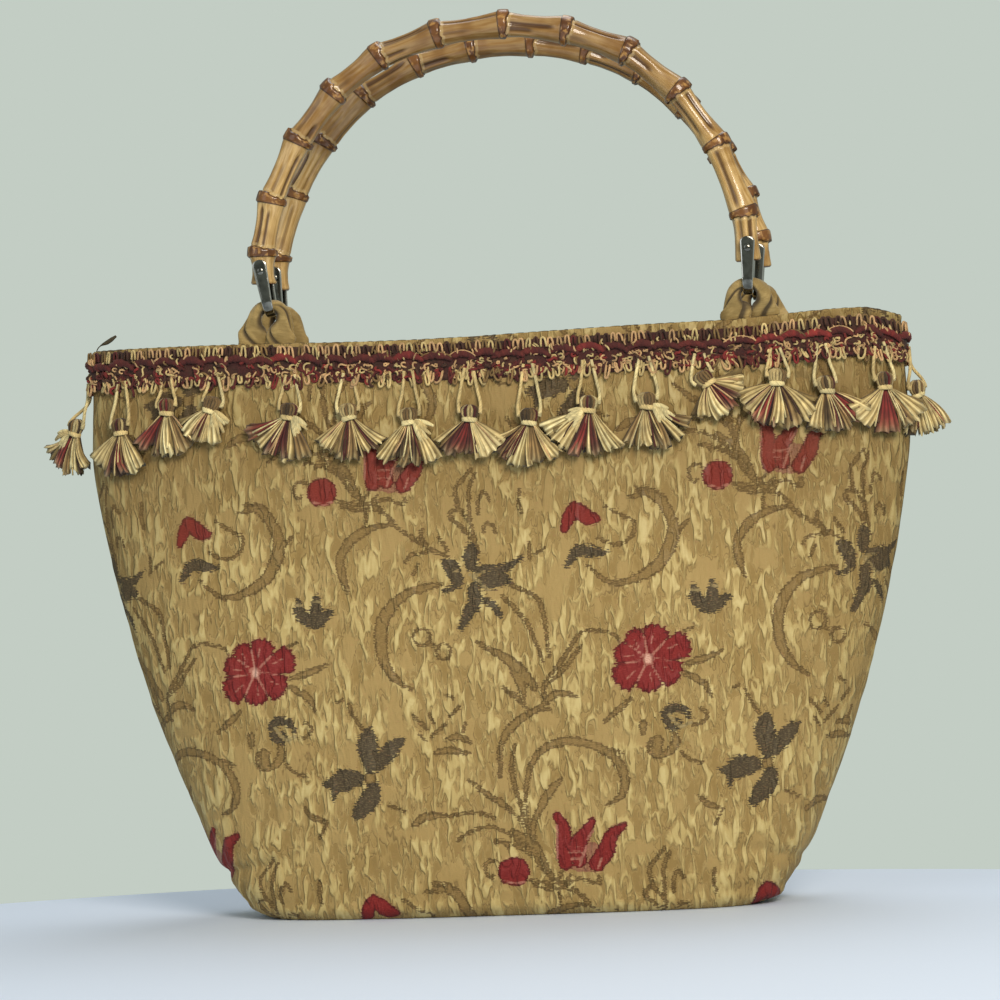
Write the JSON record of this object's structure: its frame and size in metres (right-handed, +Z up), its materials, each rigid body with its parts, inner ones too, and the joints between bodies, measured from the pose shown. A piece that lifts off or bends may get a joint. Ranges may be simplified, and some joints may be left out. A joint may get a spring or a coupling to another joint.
{
  "type": "bamboo handle bag",
  "caption": "Open-topped brocade tote with a boxed base, a tassel fringe round the rim and arched bamboo handles that swing in cloth loops on metal clips.",
  "frame": {"origin": "centre of the bounding box, at floor height", "axes": "+X to the right across the width, +Y towards the back, +Z up"},
  "size_m": [0.3824, 0.0978, 0.4001],
  "materials": {
    "brocade": "gold-tan jacquard brocade with a red, green and brown floral pattern",
    "braid_yarn": "looped yarn braid in red, cream and olive",
    "tassel_yarn": "cut yarn in cream, red and olive",
    "loop_cloth": "turned tube of gold-tan cloth",
    "clip_metal": "plated strip steel",
    "bamboo": "varnished bamboo root with browned joints"
  },
  "bodies": {
    "bag": {"bag_body": "brocade", "fringe_braid": "braid_yarn", "tassel_front_01": "tassel_yarn", "tassel_front_02": "tassel_yarn", "tassel_front_03": "tassel_yarn", "tassel_front_04": "tassel_yarn", "tassel_front_05": "tassel_yarn", "tassel_front_06": "tassel_yarn", "tassel_front_07": "tassel_yarn", "tassel_front_08": "tassel_yarn", "tassel_front_09": "tassel_yarn", "tassel_front_10": "tassel_yarn", "tassel_front_11": "tassel_yarn", "tassel_front_12": "tassel_yarn", "tassel_front_13": "tassel_yarn", "tassel_front_14": "tassel_yarn", "tassel_back_01": "tassel_yarn", "tassel_back_02": "tassel_yarn", "tassel_back_03": "tassel_yarn", "tassel_back_04": "tassel_yarn", "tassel_back_05": "tassel_yarn", "tassel_back_06": "tassel_yarn", "tassel_back_07": "tassel_yarn", "tassel_back_08": "tassel_yarn", "tassel_back_09": "tassel_yarn", "tassel_back_10": "tassel_yarn", "tassel_back_11": "tassel_yarn", "tassel_back_12": "tassel_yarn", "tassel_back_13": "tassel_yarn", "tassel_back_14": "tassel_yarn", "tassel_left": "tassel_yarn", "tassel_right": "tassel_yarn", "loop_front_left": "loop_cloth", "loop_front_right": "loop_cloth", "loop_back_left": "loop_cloth", "loop_back_right": "loop_cloth"},
    "front_handle": {"bamboo_front": "bamboo", "clip_front_left": "clip_metal", "clip_front_right": "clip_metal"},
    "back_handle": {"bamboo_back": "bamboo", "clip_back_left": "clip_metal", "clip_back_right": "clip_metal"}
  },
  "joints": [
    {"name": "front_handle_swing", "type": "hinge", "parent": "bag", "child": "front_handle", "pos_m": [0.009, -0.027, 0.276], "axis": [1, 0, 0], "range_deg": [-8, 130]},
    {"name": "back_handle_swing", "type": "hinge", "parent": "bag", "child": "back_handle", "pos_m": [0.009, 0.027, 0.276], "axis": [-1, 0, 0], "range_deg": [-8, 130]}
  ]
}
